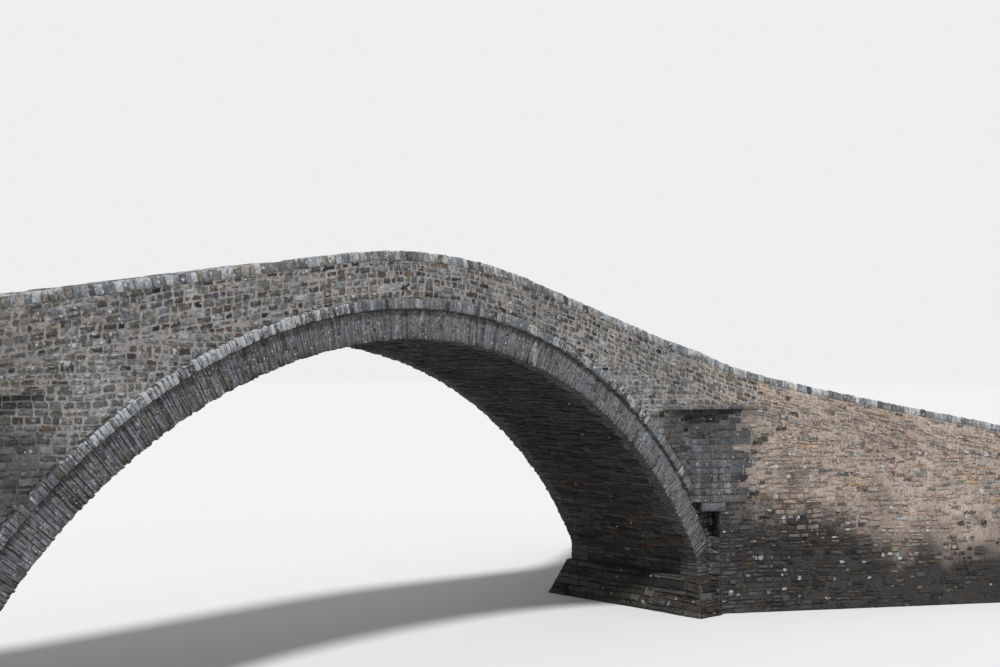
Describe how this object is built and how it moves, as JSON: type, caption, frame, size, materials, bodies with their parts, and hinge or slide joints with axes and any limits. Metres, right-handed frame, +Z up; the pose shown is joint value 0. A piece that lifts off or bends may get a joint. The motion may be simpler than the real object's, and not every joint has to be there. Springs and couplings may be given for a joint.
{
  "type": "packhorse bridge",
  "caption": "Humped stone packhorse bridge: a high segmental arch with hood mould, rubble walls, low parapets and splayed wings",
  "frame": {"origin": "under the middle of the arch, on the ground plane at the footings' lowest level", "axes": "+X along the bridge to its right end, +Y across it to the back face, +Z up"},
  "size_m": [28.9, 12.4796, 7.302],
  "materials": {
    "ring_stone": "weathered sandstone with lichen",
    "soffit_stone": "damp, stained sandstone",
    "hood_stone": "weathered sandstone with lichen",
    "wall_rubble": "coursed rubble in pale lime mortar",
    "wing_rubble": "coursed rubble in lime mortar",
    "coping_stone": "rough stones on edge with lichen",
    "corbel_stone": "dark weathered sandstone",
    "abutment_stone": "rough damp masonry",
    "footing_stone": "wet dark sandstone",
    "rubble_core": "packed rubble and lime",
    "paving_stone": "worn sandstone setts"
  },
  "bodies": {
    "root": {"arch_barrel": "soffit_stone", "front_arch_ring": "ring_stone", "back_arch_ring": "ring_stone", "front_hood_mould": "hood_stone", "back_hood_mould": "hood_stone", "left_footing": "footing_stone", "right_footing": "footing_stone", "left_abutment": "abutment_stone", "right_abutment": "abutment_stone", "arch_fill": "rubble_core", "left_approach_fill": "rubble_core", "right_approach_fill": "rubble_core", "roadway": "paving_stone", "front_parapet": "wall_rubble", "back_parapet": "wall_rubble", "front_coping": "coping_stone", "back_coping": "coping_stone", "front_left_spandrel": "wall_rubble", "front_left_wing_wall": "wing_rubble", "front_left_wing_parapet": "wing_rubble", "front_left_wing_coping": "coping_stone", "front_left_corner_wall": "wall_rubble", "front_left_corbels": "corbel_stone", "front_left_slabs": "corbel_stone", "front_right_spandrel": "wall_rubble", "front_right_wing_wall": "wing_rubble", "front_right_wing_parapet": "wing_rubble", "front_right_wing_coping": "coping_stone", "front_right_corner_wall": "wall_rubble", "front_right_corbels": "corbel_stone", "front_right_slabs": "corbel_stone", "back_left_spandrel": "wall_rubble", "back_left_wing_wall": "wing_rubble", "back_left_wing_parapet": "wing_rubble", "back_left_wing_coping": "coping_stone", "back_left_corner_wall": "wall_rubble", "back_left_corbels": "corbel_stone", "back_left_slabs": "corbel_stone", "back_right_spandrel": "wall_rubble", "back_right_wing_wall": "wing_rubble", "back_right_wing_parapet": "wing_rubble", "back_right_wing_coping": "coping_stone", "back_right_corner_wall": "wall_rubble", "back_right_corbels": "corbel_stone", "back_right_slabs": "corbel_stone"}
  },
  "joints": []
}
